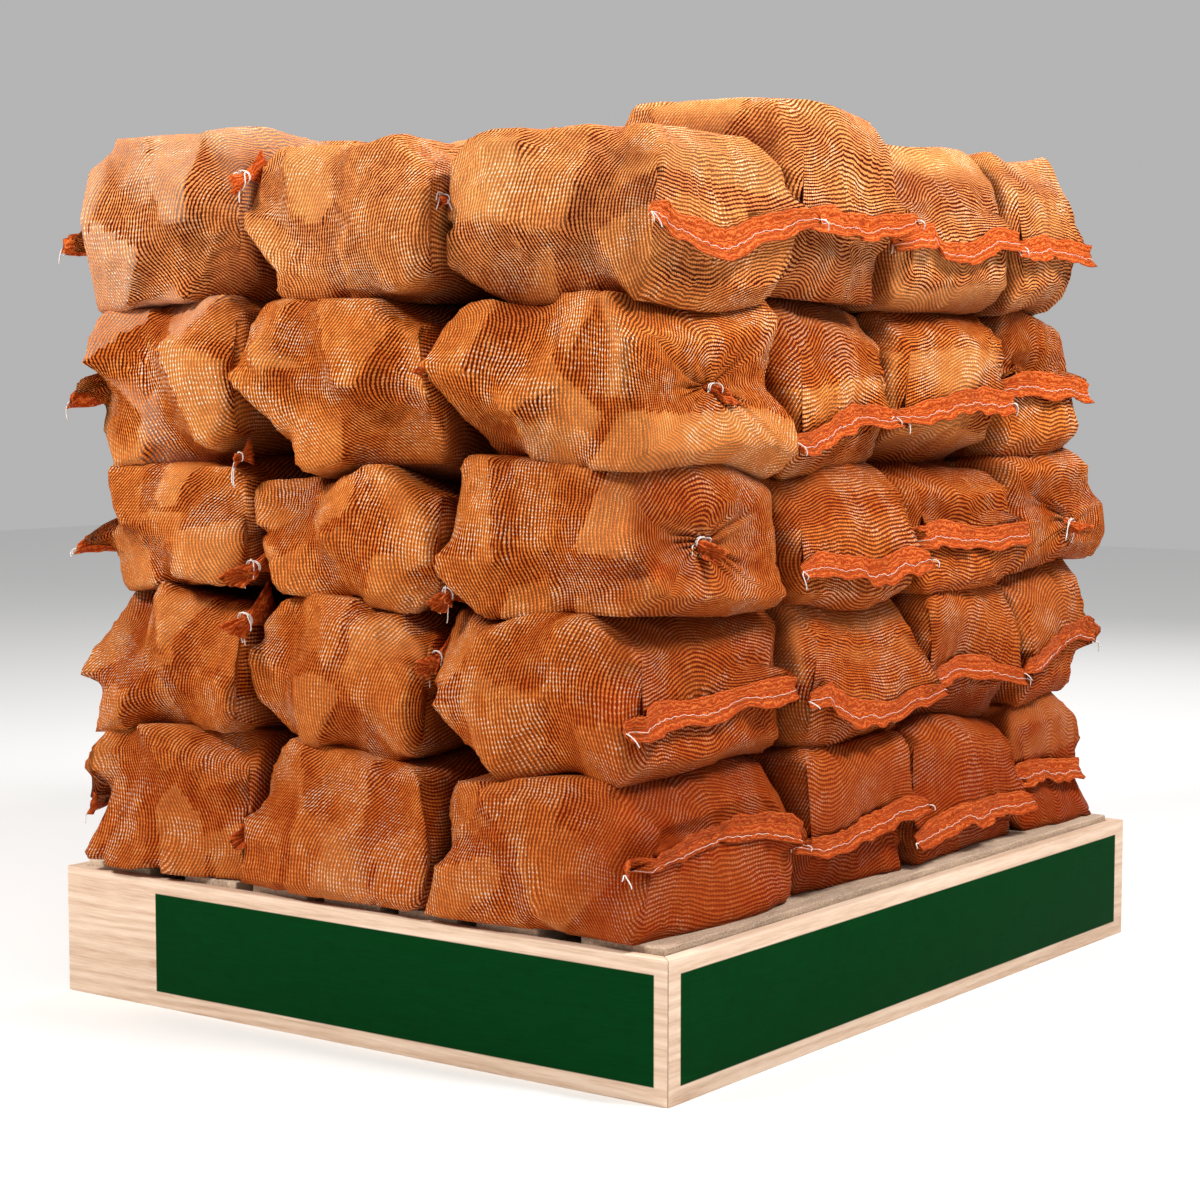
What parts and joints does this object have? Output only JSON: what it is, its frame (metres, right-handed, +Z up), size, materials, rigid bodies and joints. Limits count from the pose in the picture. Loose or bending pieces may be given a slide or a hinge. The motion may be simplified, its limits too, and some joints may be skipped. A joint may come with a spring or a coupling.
{
  "type": "pallet of bagged logs",
  "caption": "Stack of orange net bags of split oak logs on a wooden pallet boxed in by pine boards with plain green panels.",
  "frame": {"origin": "on the ground under the middle of the pallet", "axes": "+Z up, X along the pallet's short side, Y along its long side; -Y is the side where log ends show in the picture, +X the side where the hems show"},
  "size_m": [1, 1.2, 1.1744],
  "materials": {
    "net_bag": "open orange net drawn tight over split logs",
    "surround_board": "planed pale pine, with a dark green panel printed on the outer face",
    "pallet_wood": "rough-sawn and weathered"
  },
  "bodies": {
    "root": {"log_bag_tier1_col1_row1": "net_bag", "log_bag_tier1_col1_row2": "net_bag", "log_bag_tier1_col1_row3": "net_bag", "log_bag_tier1_col1_row4": "net_bag", "log_bag_tier1_col2_row1": "net_bag", "log_bag_tier1_col2_row4": "net_bag", "log_bag_tier1_col3_row1": "net_bag", "log_bag_tier1_col3_row2": "net_bag", "log_bag_tier1_col3_row3": "net_bag", "log_bag_tier1_col3_row4": "net_bag", "log_bag_tier2_col1_row1": "net_bag", "log_bag_tier2_col1_row2": "net_bag", "log_bag_tier2_col1_row3": "net_bag", "log_bag_tier2_col1_row4": "net_bag", "log_bag_tier2_col2_row1": "net_bag", "log_bag_tier2_col2_row4": "net_bag", "log_bag_tier2_col3_row1": "net_bag", "log_bag_tier2_col3_row2": "net_bag", "log_bag_tier2_col3_row3": "net_bag", "log_bag_tier2_col3_row4": "net_bag", "log_bag_tier3_col1_row1": "net_bag", "log_bag_tier3_col1_row2": "net_bag", "log_bag_tier3_col1_row3": "net_bag", "log_bag_tier3_col1_row4": "net_bag", "log_bag_tier3_col2_row1": "net_bag", "log_bag_tier3_col2_row4": "net_bag", "log_bag_tier3_col3_row1": "net_bag", "log_bag_tier3_col3_row2": "net_bag", "log_bag_tier3_col3_row3": "net_bag", "log_bag_tier3_col3_row4": "net_bag", "log_bag_tier4_col1_row1": "net_bag", "log_bag_tier4_col1_row2": "net_bag", "log_bag_tier4_col1_row3": "net_bag", "log_bag_tier4_col1_row4": "net_bag", "log_bag_tier4_col2_row1": "net_bag", "log_bag_tier4_col2_row4": "net_bag", "log_bag_tier4_col3_row1": "net_bag", "log_bag_tier4_col3_row2": "net_bag", "log_bag_tier4_col3_row3": "net_bag", "log_bag_tier4_col3_row4": "net_bag", "log_bag_tier5_col1_row1": "net_bag", "log_bag_tier5_col1_row2": "net_bag", "log_bag_tier5_col1_row3": "net_bag", "log_bag_tier5_col1_row4": "net_bag", "log_bag_tier5_col2_row1": "net_bag", "log_bag_tier5_col2_row2": "net_bag", "log_bag_tier5_col2_row3": "net_bag", "log_bag_tier5_col2_row4": "net_bag", "log_bag_tier5_col3_row1": "net_bag", "log_bag_tier5_col3_row2": "net_bag", "log_bag_tier5_col3_row3": "net_bag", "log_bag_tier5_col3_row4": "net_bag", "middle_bags": "net_bag", "pallet_deck": "pallet_wood", "pallet_base": "pallet_wood", "surround_front": "surround_board", "surround_right": "surround_board", "surround_back": "surround_board", "surround_left": "surround_board"}
  },
  "joints": []
}
